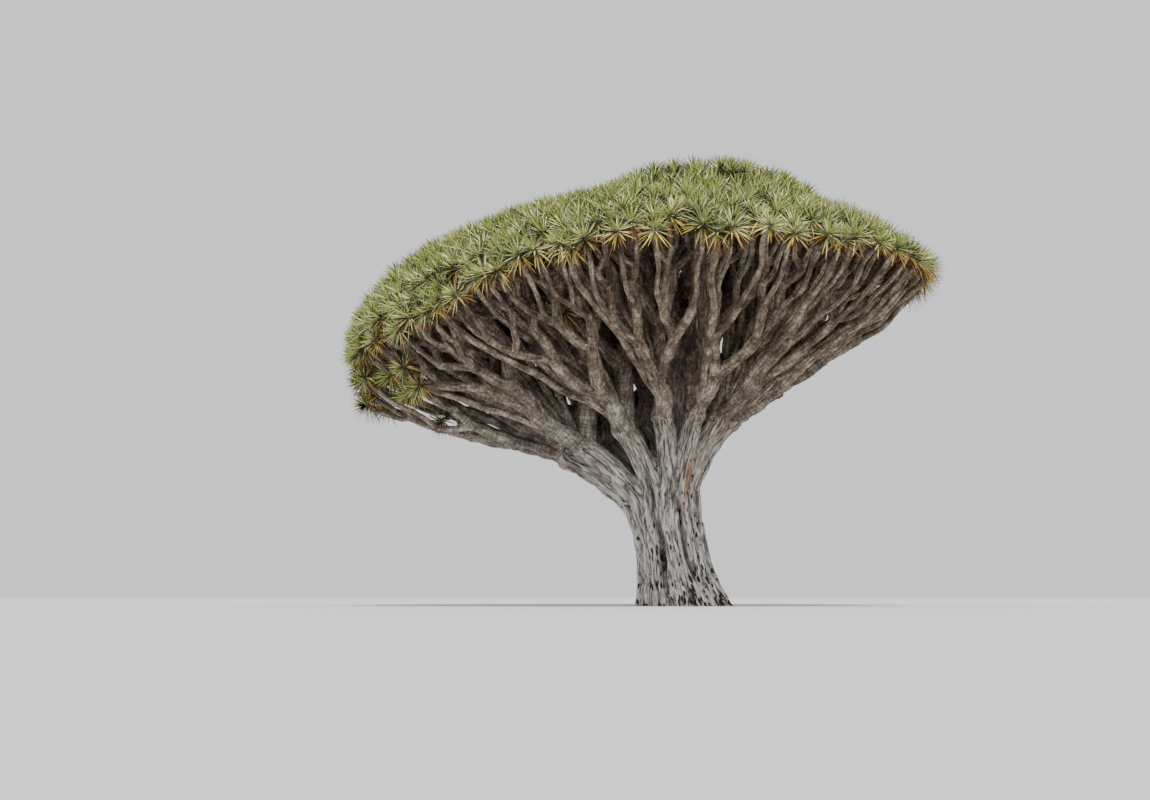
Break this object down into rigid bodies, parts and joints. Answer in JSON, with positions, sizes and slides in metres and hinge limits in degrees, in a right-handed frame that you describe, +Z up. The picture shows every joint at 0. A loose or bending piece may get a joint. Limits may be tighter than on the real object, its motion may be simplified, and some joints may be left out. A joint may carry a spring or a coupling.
{
  "type": "dragon tree",
  "caption": "Mature dragon tree with a stout fluted trunk, dense forking boughs and a wide umbrella crown of sword-leaved rosettes.",
  "frame": {"origin": "middle of the flat cut under the trunk, at ground level", "axes": "+Z up the tree, -Y towards the viewer of the picture, -X to the side where the crown hangs lowest"},
  "size_m": [15.9977, 13.8234, 11.8604],
  "materials": {
    "trunk_bark": "rough fissured bark",
    "limb_bark": "rough ringed bark",
    "foliage": "satin leaves"
  },
  "bodies": {
    "root": {"trunk": "trunk_bark", "bough_left": "limb_bark", "bough_left_front": "limb_bark", "bough_front_left": "limb_bark", "bough_front": "limb_bark", "bough_front_right": "limb_bark", "bough_right_front": "limb_bark", "bough_right": "limb_bark", "bough_right_back": "limb_bark", "bough_back_right": "limb_bark", "bough_back": "limb_bark", "bough_back_left": "limb_bark", "bough_left_back": "limb_bark", "bough_left_side": "limb_bark", "bough_centre": "limb_bark", "limb_left_outer": "limb_bark", "limb_left_outer_low": "limb_bark", "limb_left_front_outer": "limb_bark", "limb_front_left_outer": "limb_bark", "limb_front_outer": "limb_bark", "limb_front_right_outer": "limb_bark", "limb_right_front_outer": "limb_bark", "limb_right_outer": "limb_bark", "limb_right_back_outer": "limb_bark", "limb_back_right_outer": "limb_bark", "limb_back_outer": "limb_bark", "limb_back_left_outer": "limb_bark", "limb_left_back_outer": "limb_bark", "limb_left_side_outer": "limb_bark", "crown_left_inner": "foliage", "crown_left_middle": "foliage", "crown_left_outer": "foliage", "crown_left_outer_low": "foliage", "crown_left_front_inner": "foliage", "crown_left_front_outer": "foliage", "crown_front_left_inner": "foliage", "crown_front_left_outer": "foliage", "crown_front_inner": "foliage", "crown_front_outer": "foliage", "crown_front_right_inner": "foliage", "crown_front_right_outer": "foliage", "crown_right_front_inner": "foliage", "crown_right_front_outer": "foliage", "crown_right_inner": "foliage", "crown_right_outer": "foliage", "crown_right_back_inner": "foliage", "crown_right_back_outer": "foliage", "crown_back_right_inner": "foliage", "crown_back_right_outer": "foliage", "crown_back_inner": "foliage", "crown_back_outer": "foliage", "crown_back_left_inner": "foliage", "crown_back_left_outer": "foliage", "crown_left_back_inner": "foliage", "crown_left_back_outer": "foliage", "crown_left_side_inner": "foliage", "crown_left_side_outer": "foliage", "crown_centre_1": "foliage", "crown_centre_2": "foliage", "crown_centre_3": "foliage"}
  },
  "joints": []
}
